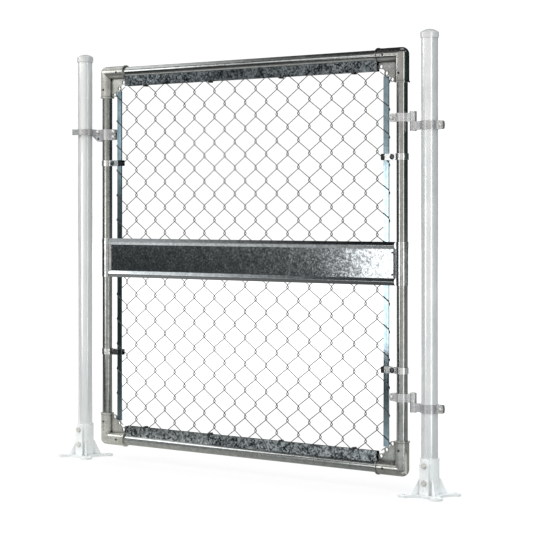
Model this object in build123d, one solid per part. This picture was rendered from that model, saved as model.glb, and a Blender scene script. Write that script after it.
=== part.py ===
from build123d import *
import os
from math import asin, cos, pi, sin

# Chain link walk gate on two flanged posts, with strap hinges and a fork latch.
# Millimetres. The origin is the centre of the hinge post's foot on the ground. The leaf runs from
# there along -X to the latch post, -Y is the front with the plain panel, and +Z is up.

os.makedirs("parts", exist_ok=True)

# Posts
post_radius = 25.4
post_wall = 2.0
post_rise = 55.0
hinge_side_gap = 98.0
latch_side_gap = 105.0

# Round tube frame of the leaf
tube_radius = 17.45
tube_wall = 1.7
frame_width = 1214.0
frame_height = 1275.0
bottom_rail_height = 73.0

# Cast corner elbows
elbow_reach = 88.0
elbow_wall = 4.4
elbow_lip = 2.0
elbow_lip_length = 5.0
elbow_core = 24.0
elbow_web = 4.0
boss_radius = 8.0
boss_hole_radius = 5.8
boss_near = 35.0
boss_middle = 56.0
boss_far = 76.0
elbow_screw_offset = 59.0
screw_head_height = 1.5

# Chain link fabric: each wire is a flattened helix between two knuckle columns
diamond = 86.0
fabric_margin = 48.0
edge_phase = 0.686
wire_corner_radius = 1.9
wire_sides = 3
knuckle_overlap = 2.3
knuckle_half_height = 6.0
outer_wire_gap = 2.0
running_gap = 0.3

# Tension bars and their bands
bar_width = 19.0
bar_thickness = 4.8
bar_end_gap = 1.0
band_height = 20.0
band_sheet = 2.5
lower_band_rise = 303.0
upper_band_drop = 315.0
band_bolt_offset = 31.0
band_tail = 5.0
band_corner = 5.0
band_jaw_length = 14.0
band_jaw_sheet = 2.0
band_head_radius = 8.5

# Folded strips that hold the fabric's top and bottom edges
strip_sheet = 1.5
strip_reach = 49.0
clip_width = 8.0
clip_depth = 5.0
clip_leg = 12.0
clip_round = 4.0
clip_columns = (3.4, 10.0)

# Pressed panel across the middle, and the sleeves that hold it
panel_drop = 6.5
panel_height = 134.0
panel_sheet = 1.2
bead_height = 22.0
bead_depth = 8.0
end_rim_run = 7.0
end_rim_rise = 6.0
sleeve_sheet = 1.5
sleeve_tongue = 26.0
sleeve_seam = 1.5
sleeve_seam_angle = -53.0
rivet_radius = 3.5
rivet_height = 2.0
rivet_inset = 11.0
rivet_edge = 11.0

# Strap hinges
hinge_axis_offset = 58.0
lower_hinge_rise = 194.0
upper_hinge_drop = 221.0
hinge_height = 26.0
hinge_strap = 3.1
hinge_neck = 12.0
pin_radius = 6.0
pin_recess = 1.0
barrel_wall = 4.5
eye_rise = 5.0
eye_drop = 3.0
ear_sheet = 3.2
ear_gap = 6.4
ear_reach = 21.0
ear_corner = 6.0
ear_bolt_offset = 13.5

# Fork latch
latch_drop = 204.0
fork_height = 20.0
fork_thickness = 8.0
fork_clearance = 5.5
fork_tip = 1.0
clamp_below = 30.0
clamp_above = 7.0
pivot_drop = 2.0
lock_hole_drop = 25.0
pivot_offset = 35.5
lug_radius = 9.5
lug_thickness = 10.0
lug_toe = 2.0
latch_ear = 4.0
latch_pin_radius = 5.0
lock_hole_radius = 4.5

# Flanged feet
foot_side = 148.0
foot_thickness = 7.0
foot_corner = 17.0
foot_waist = 44.0
foot_scoop = 50.0
socket_wall = 3.95
socket_top = 116.0
anchor_circle = 160.0
anchor_hole_radius = 5.5
rib_thickness = 6.0
rib_top = 55.0
rib_reach = 54.0
rib_toe = 4.0
rib_shoulder = 3.0
pad_width = 32.0
pad_stand = 4.0
pad_crown = 96.0
pad_bolt_levels = (44.0, 96.0)
pad_head_radius = 10.0
pad_head_height = 6.0

# Post caps
cap_wall = 2.85
cap_skirt = 11.0
cap_dome = 10.0
cap_crown = 6.0
cap_shoulder = 3.5

# Fasteners, fits, and how far a cut runs past the face it opens
bolt_radius = 4.0
head_radius = 7.5
head_height = 4.5
round_head_height = 3.2
shank_gap = 0.2
fit_gap = 0.15
pin_gap = 0.06
cut_over = 1.0

# Places worked out from the sizes above
right_x = -hinge_side_gap
left_x = right_x - frame_width
latch_post_x = left_x - latch_side_gap
centre_x = (left_x + right_x) / 2
top_rail_height = bottom_rail_height + frame_height
centre_z = bottom_rail_height + frame_height / 2
post_top = top_rail_height + post_rise
hinge_x = -hinge_axis_offset
hinge_levels = (bottom_rail_height + lower_hinge_rise, top_rail_height - upper_hinge_drop)
gate_hinge_levels = [level + hinge_height + running_gap for level in hinge_levels]
barrel_radius = pin_radius + barrel_wall
ear_half = ear_gap / 2 + ear_sheet
band_levels = (bottom_rail_height + lower_band_rise, top_rail_height - upper_band_drop)
panel_level = centre_z - panel_drop
socket_radius = post_radius + fit_gap + socket_wall
pad_face = socket_radius + pad_stand
cap_radius = post_radius + fit_gap + cap_wall

# The elbows' outside, and the corner and turn of each
elbow_radius = tube_radius + fit_gap + elbow_wall
elbow_lip_radius = elbow_radius + elbow_lip
boss_half = bar_thickness / 2 + running_gap
corners = {
    "lower_left": (left_x, bottom_rail_height, 0),
    "upper_left": (left_x, top_rail_height, 90),
    "upper_right": (right_x, top_rail_height, 180),
    "lower_right": (right_x, bottom_rail_height, 270),
}

# The fabric, stretched to whole diamonds across and to the same cut at both strips
fabric_width = frame_width - 2 * fabric_margin
end_column = round(fabric_width / diamond)
column_step = fabric_width / end_column / 2
fabric_half_height = frame_height / 2 - strip_reach
rows = round(2 * fabric_half_height / diamond - edge_phase)
row_step = fabric_half_height / (rows + edge_phase)
wire_lane = bar_thickness / 2 + running_gap + wire_corner_radius
leaf_inner = wire_lane + wire_corner_radius + running_gap
strip_outer = leaf_inner + strip_sheet
end_knuckle = end_column * column_step + knuckle_overlap
bar_offset = end_knuckle - wire_corner_radius - running_gap - bar_width / 2

# The latch's levels and its pivot
latch_level = top_rail_height - latch_drop
clamp_low = latch_level - clamp_below
clamp_high = latch_level + clamp_above
pivot_level = latch_level - pivot_drop
lock_hole_level = latch_level - lock_hole_drop
pivot_x = left_x - pivot_offset


def upright_cylinder(x, radius, low, high):
    """A solid round bar about a vertical axis at x."""
    return Pos(x, 0, (low + high) / 2) * Cylinder(radius, high - low)


def cross_cylinder(x, z, radius, front, back):
    """A solid round bar from front to back, along Y."""
    return Pos(x, (front + back) / 2, z) * Rot(90, 0, 0) * Cylinder(radius, back - front)


def block(x_range, y_range, z_range):
    """A box given by its limits."""
    ranges = (x_range, y_range, z_range)
    centre = [(low + high) / 2 for low, high in ranges]
    return Pos(*centre) * Box(*[high - low for low, high in ranges])


def side_profile(outline, half_thickness):
    """A plate in the XZ plane, given by its corners, centred on Y = 0."""
    face = make_face(Polyline(*[(x, 0, z) for x, z in outline], close=True))
    return extrude(face, half_thickness, dir=(0, 1, 0), both=True)


def hexagon_bolt(x, z, front, back, shank_radius):
    """A bolt along Y with a six-sided head in front and a nut behind."""
    shank = cross_cylinder(x, z, shank_radius, front, back)
    head_plane = Plane(origin=(x, front, z), z_dir=(0, -1, 0))
    nut_plane = Plane(origin=(x, back, z), z_dir=(0, 1, 0))
    head = extrude(head_plane * RegularPolygon(head_radius, 6), head_height)
    nut = extrude(nut_plane * RegularPolygon(head_radius, 6), head_height)
    return shank + head + nut


def round_head_bolt(x, z, front, back, shank_radius):
    """A carriage bolt along Y: a round head in front, a six-sided nut behind."""
    shank = cross_cylinder(x, z, shank_radius, front, back)
    head = cross_cylinder(x, z, band_head_radius, front - round_head_height, front)
    nut_plane = Plane(origin=(x, back, z), z_dir=(0, 1, 0))
    nut = extrude(nut_plane * RegularPolygon(head_radius, 6), head_height)
    return shank + head + nut


def post(x):
    """A post tube that stands on the floor of its socket."""
    outer = upright_cylinder(x, post_radius, foot_thickness, post_top)
    inner = upright_cylinder(x, post_radius - post_wall, foot_thickness, post_top)
    return outer - inner


def post_cap(x):
    """A cap turned in one piece: a skirt round the post, a round shoulder and a low dome."""
    base, low = post_top + cap_crown, post_top - cap_skirt
    dome_radius = (cap_radius ** 2 + cap_dome ** 2) / (2 * cap_dome)
    half_turn = asin(cap_radius / dome_radius) / 2
    middle = (dome_radius * sin(half_turn), base + cap_dome - dome_radius * (1 - cos(half_turn)))
    crown = ThreePointArc((cap_radius, 0, base), (middle[0], 0, middle[1]), (0, 0, base + cap_dome))
    sides = Polyline((0, 0, base + cap_dome), (0, 0, low), (cap_radius, 0, low), (cap_radius, 0, base))
    profile = make_face(Curve() + [crown, sides])
    shoulder = profile.vertices().sort_by(lambda vertex: vertex.X + vertex.Z)[-1]
    cap = revolve(fillet(shoulder, cap_shoulder), Axis.Z)
    bore = upright_cylinder(0, post_radius + fit_gap, low, post_top + fit_gap)
    return Pos(x, 0, 0) * (cap - bore)


def foot_plate():
    """The star-shaped flange: a square with four scooped sides."""
    outline = RectangleRounded(foot_side, foot_side, foot_corner)
    outline -= PolarLocations(foot_waist + foot_scoop, 4) * Circle(foot_scoop)
    outline -= PolarLocations(anchor_circle / 2, 4, start_angle=45) * Circle(anchor_hole_radius)
    return extrude(outline, foot_thickness)


def foot_rib(angle):
    """One sloping rib from inside the socket's wall out along an arm of the flange."""
    inner = socket_radius - socket_wall / 2
    sunk = foot_thickness / 2
    outline = ((inner, sunk), (rib_reach, sunk), (rib_reach, foot_thickness + rib_toe),
               (socket_radius + rib_shoulder, rib_top), (inner, rib_top))
    return Rot(0, 0, angle) * side_profile(outline, rib_thickness / 2)


def foot_pad():
    """The raised bolt pad on the front of the socket, with a round crown."""
    half = pad_width / 2
    plate = block((-half, half), (-pad_face, -post_radius), (0, pad_crown))
    return plate + cross_cylinder(0, pad_crown, half, -pad_face, -post_radius)


def post_foot(x):
    """The cast foot: flange, socket, ribs and bolt pad in one piece."""
    body = foot_plate() + upright_cylinder(0, socket_radius, 0, socket_top) + foot_pad()
    for angle in (45, 135, 225, 315):
        body += foot_rib(angle)
    body -= upright_cylinder(0, post_radius + fit_gap, foot_thickness, socket_top)
    for level in pad_bolt_levels:
        body -= cross_cylinder(0, level, bolt_radius + shank_gap, -pad_face, 0)
    return Pos(x, 0, 0) * body


def foot_bolt(x, level):
    """A set bolt in the pad, its point against the post."""
    point = -post_radius - fit_gap
    shank = cross_cylinder(x, level, bolt_radius, -pad_face, point)
    plane = Plane(origin=(x, -pad_face, level), z_dir=(0, -1, 0))
    return shank + extrude(plane * RegularPolygon(pad_head_radius, 6), pad_head_height)


def solid_strap(x, tube, low, high, side):
    """A strap round a tube with a block of ears on one side (+1 or -1), before it is slit and bored."""
    outer = tube + fit_gap + hinge_strap
    ears = block(sorted((x, x + side * (outer + ear_reach))), (-ear_half, ear_half), (low, high))
    tips = ears.edges().filter_by(Axis.Y).sort_by(lambda edge: side * edge.center().X)[-2:]
    return upright_cylinder(x, outer, low, high) + fillet(tips, ear_corner)


def ear_slit(x, tube, low, high, side):
    """The gap between a strap's ears, from the tube's axis out."""
    far = x + side * (tube + fit_gap + hinge_strap + ear_reach + cut_over)
    return block(sorted((x, far)), (-ear_gap / 2, ear_gap / 2), (low, high))


def ear_bolt_x(x, tube, side):
    """X of the bolt that closes a strap's ears."""
    return x + side * (tube + fit_gap + hinge_strap + ear_bolt_offset)


def strap_with_ears(x, tube, low, high, side):
    """A strap round a tube with two ears and a slit between them, drilled for its bolt."""
    body = solid_strap(x, tube, low, high, side) - ear_slit(x, tube, low, high, side)
    body -= upright_cylinder(x, tube + fit_gap, low, high)
    bolt_x, level = ear_bolt_x(x, tube, side), (low + high) / 2
    return body - cross_cylinder(bolt_x, level, bolt_radius + shank_gap, -ear_half, ear_half)


def ear_bolts(x, tube, levels, side):
    """The bolts that close the ears of the straps on a tube."""
    bolt_x = ear_bolt_x(x, tube, side)
    return [hexagon_bolt(bolt_x, level, -ear_half, ear_half, bolt_radius) for level in levels]


def post_hinge(level):
    """The lower half of a hinge: a strap round the post with an upright pin."""
    low, high = level - hinge_height / 2, level + hinge_height / 2
    strap = strap_with_ears(0, post_radius, low, high, 1)
    neck = block((hinge_x, -post_radius), (-hinge_neck / 2, hinge_neck / 2), (low, high))
    body = strap + (neck - upright_cylinder(0, post_radius + fit_gap, low, high))
    body += upright_cylinder(hinge_x, barrel_radius, low - eye_drop, high)
    pin_top = high + hinge_height + eye_rise - pin_recess
    return body + upright_cylinder(hinge_x, pin_radius, high, pin_top)


def gate_hinge(level):
    """The upper half of a hinge: a strap round the leaf's upright with an eye on the pin."""
    low = level + hinge_height / 2 + running_gap
    high = low + hinge_height
    strap = strap_with_ears(right_x, tube_radius, low, high, -1)
    neck = block((right_x + tube_radius, hinge_x), (-hinge_neck / 2, hinge_neck / 2), (low, high))
    body = strap + (neck - upright_cylinder(right_x, tube_radius + fit_gap, low, high))
    top = high + eye_rise
    body += upright_cylinder(hinge_x, barrel_radius, low, top)
    return body - upright_cylinder(hinge_x, pin_radius + pin_gap, low, top)


def frame_upright(x):
    """One upright tube, its ends inside the elbows."""
    low = bottom_rail_height + elbow_core + running_gap
    high = top_rail_height - elbow_core - running_gap
    outer = upright_cylinder(x, tube_radius, low, high)
    return outer - upright_cylinder(x, tube_radius - tube_wall, low, high)


def frame_rail(z):
    """One horizontal tube, its ends inside the elbows."""
    length = frame_width - 2 * (elbow_core + running_gap)
    outer = Cylinder(tube_radius, length)
    inner = Cylinder(tube_radius - tube_wall, length)
    return Pos(centre_x, 0, z) * Rot(0, 90, 0) * (outer - inner)


def elbow_arm():
    """One arm of an elbow along +Z, with its end lip."""
    arm = upright_cylinder(0, elbow_radius, 0, elbow_reach)
    return arm + upright_cylinder(0, elbow_lip_radius, elbow_reach - elbow_lip_length, elbow_reach)


def elbow_bosses():
    """The three bosses along the web's diagonal edge."""
    return [(boss_far, boss_near), (boss_middle, boss_middle), (boss_near, boss_far)]


def elbow_casting():
    """A corner with arms along +X and +Z: two sockets, a round corner, and a pierced web."""
    end = boss_far + boss_radius
    outline = ((0, 0), (end, 0), (end, boss_near), (boss_far, boss_near), (boss_middle, boss_middle),
               (boss_near, boss_far), (boss_near, end), (0, end))
    body = side_profile(outline, elbow_web / 2)
    for x, z in elbow_bosses():
        body += cross_cylinder(x, z, boss_radius, -boss_half, boss_half)
    body += Sphere(elbow_radius) + elbow_arm() + Rot(0, 90, 0) * elbow_arm()
    bore = upright_cylinder(0, tube_radius + fit_gap, elbow_core, elbow_reach)
    body -= bore + Rot(0, 90, 0) * bore
    for x, z in elbow_bosses():
        body -= cross_cylinder(x, z, boss_hole_radius, -boss_half, boss_half)
    return body


def elbow(corner):
    """The elbow casting turned into one corner of the leaf."""
    x, z, angle = corners[corner]
    return Pos(x, 0, z) * Rot(0, angle, 0) * elbow_casting()


def elbow_screws(corner):
    """The two screw heads on the front of an elbow, one on each arm."""
    x, z, angle = corners[corner]
    seat = Cylinder(elbow_radius + fit_gap, 2 * elbow_reach)
    seat += Rot(0, 90, 0) * seat
    heads = []
    for place in ((elbow_screw_offset, 0), (0, elbow_screw_offset)):
        head = cross_cylinder(*place, bolt_radius, -elbow_radius - screw_head_height, 0)
        heads.append(Pos(x, 0, z) * Rot(0, angle, 0) * (head - seat))
    return heads


def strip(rail_z, inward):
    """A folded strip whose back is saddled on the rail and whose leaves hold the fabric's edge."""
    half_length = frame_width / 2 - elbow_reach - running_gap
    sides = (centre_x - half_length, centre_x + half_length)
    edge = rail_z + inward * strip_reach
    slot_root = rail_z + inward * (tube_radius + strip_sheet)
    body = block(sides, (-strip_outer, strip_outer), sorted((rail_z, edge)))
    body -= block(sides, (-leaf_inner, leaf_inner), sorted((slot_root, edge + inward * cut_over)))
    saddle = Pos(centre_x, 0, rail_z) * Rot(0, 90, 0) * Cylinder(tube_radius + fit_gap, frame_width)
    return body - saddle


def strip_clip(x, rail_z, inward):
    """A clip folded round the open edge of a strip."""
    edge = rail_z + inward * strip_reach
    tip = edge + inward * clip_depth
    heel = edge - inward * clip_leg
    outer_half = strip_outer + strip_sheet
    sides = (x - clip_width / 2, x + clip_width / 2)
    outer = block(sides, (-outer_half, outer_half), sorted((heel, tip)))
    tip_edges = outer.edges().filter_by(Axis.X).sort_by(lambda e: inward * e.center().Z)[-2:]
    outer = fillet(tip_edges, clip_round)
    inner_half = strip_outer + fit_gap
    inner = block(sides, (-inner_half, inner_half), sorted((heel, edge + inward * fit_gap)))
    return outer - inner


def clip_places():
    """The clips' X positions, symmetrical about the middle of the leaf."""
    offsets = [side * column * column_step for column in clip_columns for side in (-1, 1)]
    return [centre_x + offset for offset in sorted(offsets)]


def wire_corners(column, low, high):
    """Bends of the wire between a knuckle column and the next, from low to high.

    Columns count from the middle of the leaf, and the last row has its knuckles on columns of its
    own parity. The wire falls to the right in front and rises to the right behind, and turns over
    at each knuckle.
    """
    left = centre_x + column * column_step - knuckle_overlap
    right = centre_x + (column + 1) * column_step + knuckle_overlap
    bends = []
    for step in range(-rows - 2, rows + 3):
        at_left = (step + rows) % 2 == (column + 1) % 2
        x, level = (left if at_left else right), centre_z + step * row_step
        below, above = (-wire_lane, wire_lane) if at_left else (wire_lane, -wire_lane)
        bends.append(Vector(x, below, level - knuckle_half_height))
        bends.append(Vector(x, above, level + knuckle_half_height))
    return trim_path(bends, low, high)


def trim_path(points, low, high):
    """The stretch of a rising path between two levels, with its ends cut there."""
    trimmed = []
    for start, end in zip(points, points[1:]):
        for level in (low, high):
            if start.Z < level < end.Z:
                trimmed.append(start + (end - start) * ((level - start.Z) / (end.Z - start.Z)))
        if low < end.Z < high:
            trimmed.append(end)
    return trimmed


def mitred_wire(points):
    """A wire of few sides along straight runs, mitred at each bend and cut level at its ends."""
    runs = [(end - start).normalized() for start, end in zip(points, points[1:])]
    square = Plane(origin=points[0], z_dir=runs[0], x_dir=(1, 0, -runs[0].X / runs[0].Z))
    angles = [2 * pi * side / wire_sides for side in range(wire_sides)]
    ring = [square.from_local_coords(Vector(cos(a), sin(a)) * wire_corner_radius) for a in angles]
    level = Vector(0, 0, 1)
    cuts = [level] + [(a + b).normalized() for a, b in zip(runs, runs[1:])] + [level]
    rings = []
    for point, cut, run in zip(points, cuts, [runs[0]] + runs):
        ring = [corner + run * ((point - corner).dot(cut) / run.dot(cut)) for corner in ring]
        rings.append(ring)
    faces = [Face(Wire.make_polygon(ring)) for ring in (rings[0], rings[-1])]
    for low, high in zip(rings, rings[1:]):
        for side in range(wire_sides):
            after = (side + 1) % wire_sides
            faces.append(Face(Wire.make_polygon([low[side], low[after], high[after], high[side]])))
    return Solid(Shell(faces))


def fabric():
    """All the wires of the mesh, hooked through each other at the knuckles."""
    root = tube_radius + strip_sheet + running_gap
    short = strip_reach + outer_wire_gap
    wires = []
    for column in range(-end_column, end_column):
        outermost = column in (-end_column, end_column - 1)
        margin = short if outermost else root
        low, high = bottom_rail_height + margin, top_rail_height - margin
        wires.append(mitred_wire(wire_corners(column, low, high)))
    return wires


def tension_bar(side):
    """The flat bar threaded through the last knuckles on one side."""
    x = centre_x + side * bar_offset
    margin = boss_middle + boss_radius + bar_end_gap
    levels = (bottom_rail_height + margin, top_rail_height - margin)
    faces = (-bar_thickness / 2, bar_thickness / 2)
    return block((x - bar_width / 2, x + bar_width / 2), faces, levels)


def tension_band(side, level):
    """A strap round an upright whose two leaves reach past the tension bar, one on each face, and
    end in a thicker jaw."""
    upright_x = right_x if side > 0 else left_x
    far = centre_x + side * (bar_offset - bar_width / 2 - band_tail)
    low, high = level - band_height / 2, level + band_height / 2
    inner = tube_radius + fit_gap
    leaf_outer = leaf_inner + band_sheet
    jaw_half = leaf_outer + band_jaw_sheet
    outline = block(sorted((upright_x, far)), (-jaw_half, jaw_half), (low, high))
    tips = outline.edges().filter_by(Axis.Y).sort_by(lambda edge: side * edge.center().X)[:2]
    outline = fillet(tips, band_corner)
    leaves = block(sorted((upright_x, far)), (-leaf_outer, leaf_outer), (low, high))
    jaw = block(sorted((far, far + side * band_jaw_length)), (-jaw_half, jaw_half), (low, high))
    leaves += fillet(jaw.edges().filter_by(Axis.Z), band_jaw_sheet)
    body = (outline & leaves) + upright_cylinder(upright_x, inner + band_sheet, low, high)
    body -= block(sorted((upright_x, far - side * cut_over)), (-leaf_inner, leaf_inner), (low, high))
    body -= upright_cylinder(upright_x, inner, low, high)
    bolt_x = upright_x - side * band_bolt_offset
    return body - cross_cylinder(bolt_x, level, bolt_radius + shank_gap, -leaf_outer, leaf_outer)


def band_bolt(side, level):
    """The carriage bolt that draws a band's leaves together."""
    upright_x = right_x if side > 0 else left_x
    bolt_x = upright_x - side * band_bolt_offset
    leaf_outer = leaf_inner + band_sheet
    return round_head_bolt(bolt_x, level, -leaf_outer, leaf_outer, bolt_radius)


def panel_ends():
    """X of the panel's two ends, just clear of the sleeves."""
    gap = tube_radius + fit_gap + sleeve_sheet + running_gap
    return left_x + gap, right_x - gap


def mid_panel():
    """The pressed panel: a flat face, rolled beads above and below, and flared end rims."""
    back = -leaf_inner - sleeve_sheet
    front = back - panel_sheet
    start, end = panel_ends()
    flat = panel_height / 2 - bead_height / 2
    body = block((start, end), (front, back), (panel_level - flat, panel_level + flat))
    radius = bead_height ** 2 / (8 * bead_depth) + bead_depth / 2
    levels = (panel_level - panel_height, panel_level + panel_height)
    keep = block((start, end), (front - bead_depth, back), levels)
    outside, inside = Cylinder(radius, end - start), Cylinder(radius - panel_sheet, end - start)
    for level in (panel_level - flat, panel_level + flat):
        place = Pos((start + end) / 2, front - bead_depth + radius, level) * Rot(0, 90, 0)
        body -= place * inside
        body += (place * (outside - inside)) & keep
    return body + end_rim(start, 1) + end_rim(end, -1)


def end_rim(x, inward):
    """A narrow rim flared forward at one end of the panel."""
    front = -leaf_inner - sleeve_sheet - panel_sheet
    half = panel_height / 2 - bead_height
    root = x + inward * end_rim_run
    outline = Polyline((x, front - end_rim_rise), (root, front), (root, front + panel_sheet),
                       (x, front + panel_sheet), close=True)
    return Pos(0, 0, panel_level - half) * extrude(make_face(outline), 2 * half, dir=(0, 0, 1))


def panel_sleeve(side):
    """A sheet sleeve round an upright, with a seam in front and a tongue behind the panel."""
    upright_x = right_x if side > 0 else left_x
    levels = (panel_level - panel_height / 2, panel_level + panel_height / 2)
    inner = tube_radius + fit_gap
    outer = inner + sleeve_sheet
    tip = upright_x - side * (outer + sleeve_tongue)
    flat = panel_height / 2 - bead_height
    tongue = block(sorted((upright_x, tip)), (-leaf_inner - sleeve_sheet, -leaf_inner),
                   (panel_level - flat, panel_level + flat))
    body = upright_cylinder(upright_x, outer, *levels) + tongue
    body -= upright_cylinder(upright_x, inner, *levels)
    cut = block((inner - cut_over, outer + cut_over), (-sleeve_seam / 2, sleeve_seam / 2), levels)
    seam = Rot(0, 0, sleeve_seam_angle) * cut
    if side < 0:
        seam = mirror(seam, about=Plane.YZ)
    return body - Pos(upright_x, 0, 0) * seam


def panel_rivets():
    """The four rivets that hold the panel to the sleeves' tongues."""
    front = -leaf_inner - sleeve_sheet - panel_sheet
    start, end = panel_ends()
    offset = panel_height / 2 - bead_height - rivet_edge
    rivets = []
    for x in (start + rivet_inset, end - rivet_inset):
        for level in (panel_level - offset, panel_level + offset):
            rivets.append(cross_cylinder(x, level, rivet_radius, front - rivet_height, front))
    return rivets


def latch_ear_plate(half_low, half_high):
    """The pair of rounded ears that hold the fork's pivot, as one block from front to back."""
    x = pivot_x
    outline = ((left_x, pivot_level + lug_radius), (x, pivot_level + lug_radius),
               (x - lug_radius, pivot_level), (x - lug_radius, lock_hole_level),
               (x, lock_hole_level - lug_radius), (x + lug_radius, lock_hole_level - lug_radius),
               (left_x, clamp_low))
    plate = side_profile(outline, half_high)
    for level in (pivot_level, lock_hole_level):
        plate += cross_cylinder(x, level, lug_radius, -half_high, half_high)
    slot_sides = (x - lug_radius - cut_over, left_x - tube_radius - hinge_strap)
    slot = block(slot_sides, (-half_low, half_low), (clamp_low - lug_radius, clamp_high + lug_radius))
    return plate - slot


def latch_clamp():
    """The clamp on the left upright: pivot ears towards the post, bolted ears towards the mesh."""
    half_low = lug_thickness / 2 + running_gap
    half_high = half_low + latch_ear
    body = solid_strap(left_x, tube_radius, clamp_low, clamp_high, 1)
    body += latch_ear_plate(half_low, half_high)
    bore_levels = (clamp_low - lug_radius, clamp_high + lug_radius)
    body -= upright_cylinder(left_x, tube_radius + fit_gap, *bore_levels)
    body -= ear_slit(left_x, tube_radius, clamp_low, clamp_high, 1)
    body -= cross_cylinder(pivot_x, pivot_level, latch_pin_radius + pin_gap, -half_high, half_high)
    body -= cross_cylinder(pivot_x, lock_hole_level, lock_hole_radius, -half_high, half_high)
    for level in latch_bolt_levels():
        body -= cross_cylinder(ear_bolt_x(left_x, tube_radius, 1), level, bolt_radius + shank_gap,
                               -ear_half, ear_half)
    return body


def latch_bolt_levels():
    """Heights of the latch clamp's two bolts."""
    quarter = (clamp_high - clamp_low) / 4
    return clamp_low + quarter, clamp_high - quarter


def latch_fork():
    """The fork: two prongs round the post, a round yoke, and a lug with pivot and lock holes."""
    inner = post_radius + fork_clearance
    outer = inner + fork_thickness
    tip = -(post_radius + fork_tip)
    prongs = Pos(tip / 2, 0) * Rectangle(-tip, 2 * outer)
    plan = prongs + (Circle(outer) & Pos(outer / 2, 0) * Rectangle(outer, 2 * outer))
    plan -= Circle(inner) + Pos(tip / 2, 0) * Rectangle(-tip, 2 * inner)
    low = latch_level - fork_height / 2
    fork = Pos(latch_post_x, 0, low) * extrude(plan, fork_height)
    x = pivot_x
    root = latch_post_x + inner + fork_thickness / 4
    toe = lock_hole_level - lug_radius
    outline = ((root, low), (root, low + fork_height), (x, pivot_level + lug_radius),
               (x + lug_radius, pivot_level), (x + lug_radius, lock_hole_level),
               (x, toe), (x - lug_radius, toe + lug_toe))
    fork += side_profile(outline, lug_thickness / 2)
    fork -= cross_cylinder(x, pivot_level, latch_pin_radius + pin_gap, -lug_thickness, lug_thickness)
    return fork - cross_cylinder(x, lock_hole_level, lock_hole_radius, -lug_thickness, lug_thickness)


def latch_pin():
    """The bolt that the fork turns on."""
    half = lug_thickness / 2 + running_gap + latch_ear
    return hexagon_bolt(pivot_x, pivot_level, -half, half, latch_pin_radius)


def save(node, shape):
    """Write one node, from a solid or from a list of solids."""
    if isinstance(shape, list):
        shape = Compound(children=[Part(piece.wrapped) for piece in shape])
    export_step(shape, f"parts/{node}.step")


for name, x in (("hinge", 0), ("latch", latch_post_x)):
    save(f"{name}_post", post(x))
    save(f"{name}_post_cap", post_cap(x))
    save(f"{name}_post_foot", post_foot(x))
save("foot_bolts", [foot_bolt(x, level) for x in (0, latch_post_x) for level in pad_bolt_levels])

for name, level in zip(("lower", "upper"), hinge_levels):
    save(f"post_hinge_{name}", post_hinge(level))
    save(f"gate_hinge_{name}", gate_hinge(level))
save("post_hinge_bolts", ear_bolts(0, post_radius, hinge_levels, 1))
save("gate_hinge_bolts", ear_bolts(right_x, tube_radius, gate_hinge_levels, -1))

save("left_upright", frame_upright(left_x))
save("right_upright", frame_upright(right_x))
save("top_rail", frame_rail(top_rail_height))
save("bottom_rail", frame_rail(bottom_rail_height))
for corner in corners:
    save(f"elbow_{corner}", elbow(corner))
save("elbow_screws", [head for corner in corners for head in elbow_screws(corner)])

save("top_strip", strip(top_rail_height, -1))
save("bottom_strip", strip(bottom_rail_height, 1))
save("strip_clips", [strip_clip(x, rail_z, inward) for x in clip_places()
                     for rail_z, inward in ((top_rail_height, -1), (bottom_rail_height, 1))])

save("mid_panel", mid_panel())
save("panel_rivets", panel_rivets())
for name, side in (("left", -1), ("right", 1)):
    save(f"panel_sleeve_{name}", panel_sleeve(side))
    save(f"tension_bar_{name}", tension_bar(side))
    for height, level in zip(("lower", "upper"), band_levels):
        save(f"tension_band_{height}_{name}", tension_band(side, level))
save("band_bolts", [band_bolt(side, level) for side in (-1, 1) for level in band_levels])
save("chain_link_mesh", fabric())

save("latch_clamp", latch_clamp())
save("latch_clamp_bolts", ear_bolts(left_x, tube_radius, latch_bolt_levels(), 1))
save("latch_pin", latch_pin())
save("latch_fork", latch_fork())
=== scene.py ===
import math

import bmesh
import bpy
from mathutils import Matrix, Vector


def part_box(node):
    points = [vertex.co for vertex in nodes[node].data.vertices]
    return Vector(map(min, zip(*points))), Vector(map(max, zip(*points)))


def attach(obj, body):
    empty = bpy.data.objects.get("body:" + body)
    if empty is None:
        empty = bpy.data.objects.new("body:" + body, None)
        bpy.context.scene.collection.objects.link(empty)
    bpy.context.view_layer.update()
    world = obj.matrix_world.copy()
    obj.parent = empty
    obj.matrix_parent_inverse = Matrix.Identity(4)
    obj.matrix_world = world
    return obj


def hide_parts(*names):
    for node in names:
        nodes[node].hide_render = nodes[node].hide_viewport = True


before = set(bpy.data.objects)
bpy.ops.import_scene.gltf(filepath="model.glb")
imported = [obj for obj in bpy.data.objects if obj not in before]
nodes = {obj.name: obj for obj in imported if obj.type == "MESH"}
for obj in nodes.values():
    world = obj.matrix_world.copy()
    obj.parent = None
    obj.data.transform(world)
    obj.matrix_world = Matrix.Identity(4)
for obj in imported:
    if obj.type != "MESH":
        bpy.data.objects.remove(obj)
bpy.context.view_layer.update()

# Looks of a chain link walk gate. Metres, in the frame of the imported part: the origin is at the
# hinge post's foot, the leaf runs along -X, -Y is the front, and +Z is up.

# Fabric wires: round wire on the same paths as the plain solids
HALF_COLUMNS = 13
LAST_ROW = 13
COLUMN_STEP = 0.043
ROW_STEP = 0.043
WIRE_RADIUS = 0.00135
WIRE_LANE = 0.0046
WIRE_SIDES = 8
KNUCKLE_OVERLAP = 0.0018
KNUCKLE_HALF_HEIGHT = 0.0048
BEND_LENGTH = 0.0042
BEND_STEPS = 4
HIDDEN_END = 0.02
OUTER_WIRE_GAP = 0.002

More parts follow.
